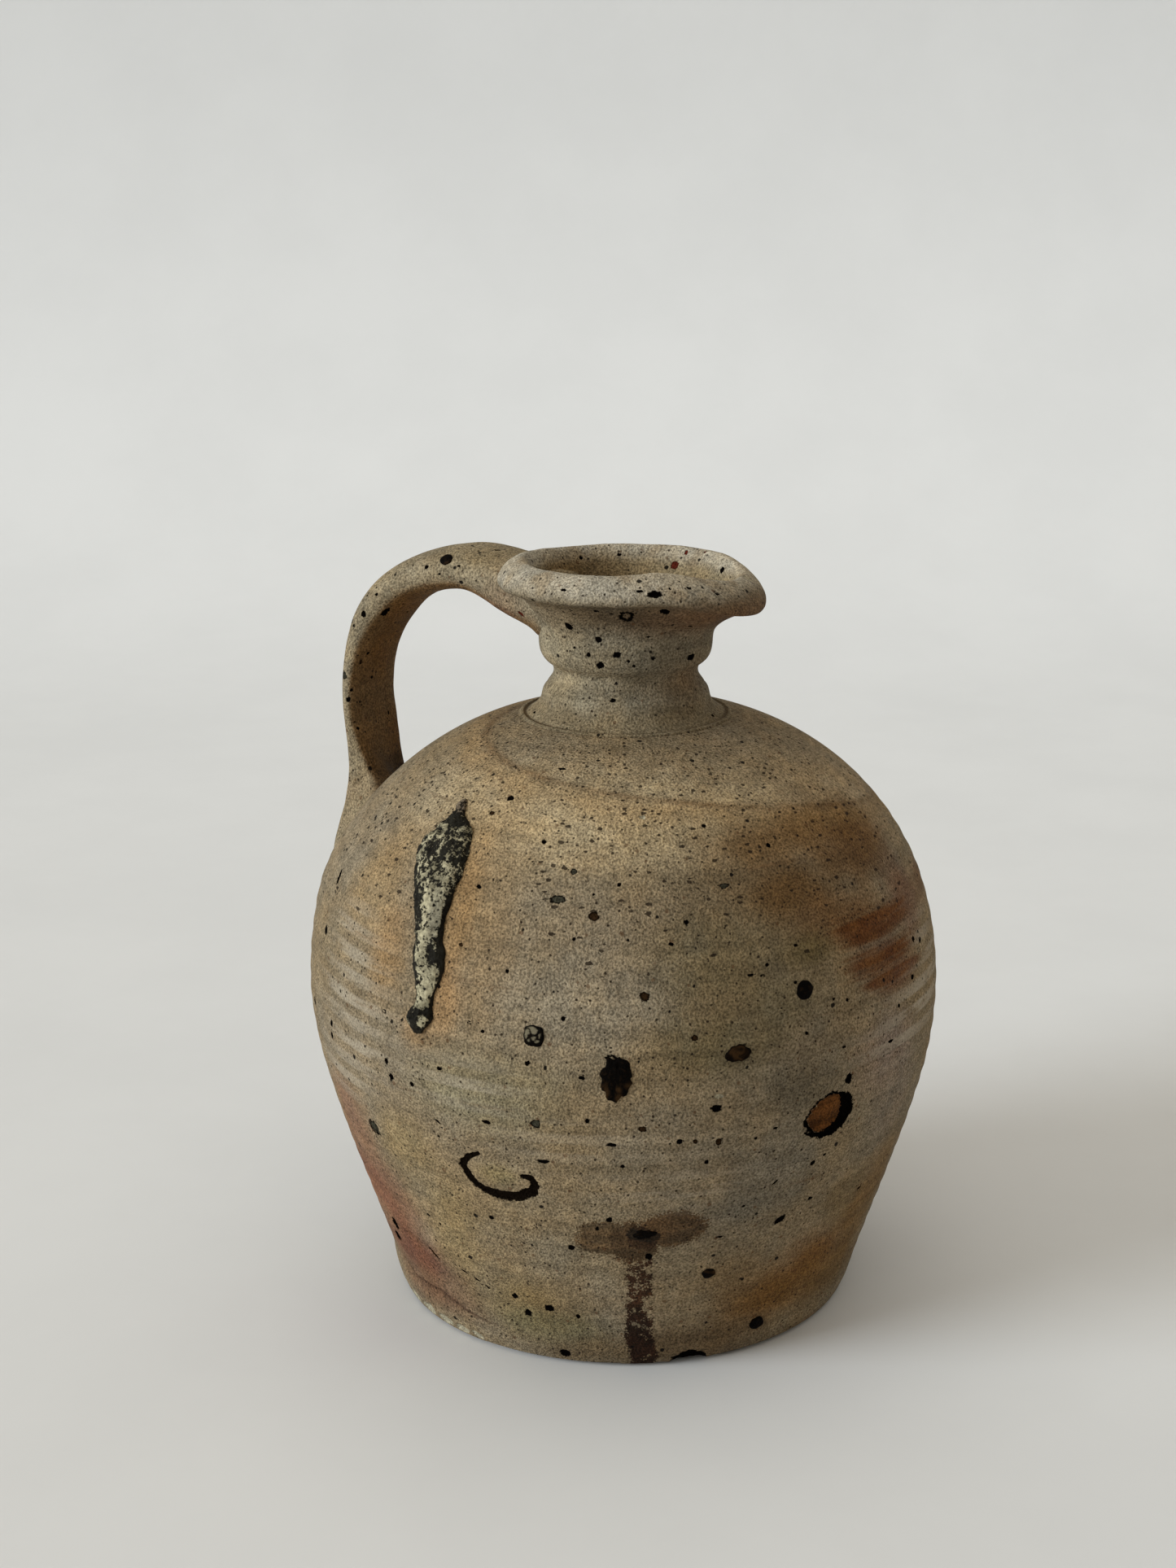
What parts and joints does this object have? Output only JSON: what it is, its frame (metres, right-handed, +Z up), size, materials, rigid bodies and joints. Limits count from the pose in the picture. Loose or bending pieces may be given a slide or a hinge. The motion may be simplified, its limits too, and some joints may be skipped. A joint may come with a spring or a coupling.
{
  "type": "stoneware jug",
  "caption": "Wood-fired stoneware jug with a round thrown body, a waisted neck, a rolled rim with a pouring lip and a pulled strap handle; it stands on a flat base.",
  "frame": {"origin": "centre of the flat base, on the surface it stands on", "axes": "+Z up along the body's axis; +X towards the pouring lip; the handle is on the -X side"},
  "size_m": [0.2249, 0.2242, 0.2619],
  "materials": {
    "body_clay": "matt sandy stoneware with orange flashing and dark specks",
    "neck_clay": "matt grey stoneware with dark specks",
    "handle_clay": "matt tan stoneware with dark specks",
    "kiln_slag": "half-glossy cream and black slag",
    "melted_iron": "dull black melted iron",
    "brown_iron": "dull brown melted iron"
  },
  "bodies": {
    "root": {"body": "body_clay", "neck": "neck_clay", "handle": "handle_clay", "kiln_drip": "kiln_slag", "iron_blob_front": "melted_iron", "iron_bead_left": "melted_iron", "iron_bead_right": "melted_iron", "iron_bead_brown": "brown_iron", "iron_bleed_core": "melted_iron", "iron_bead_low": "melted_iron", "iron_bead_foot": "melted_iron", "iron_bead_handle": "melted_iron"}
  },
  "joints": []
}
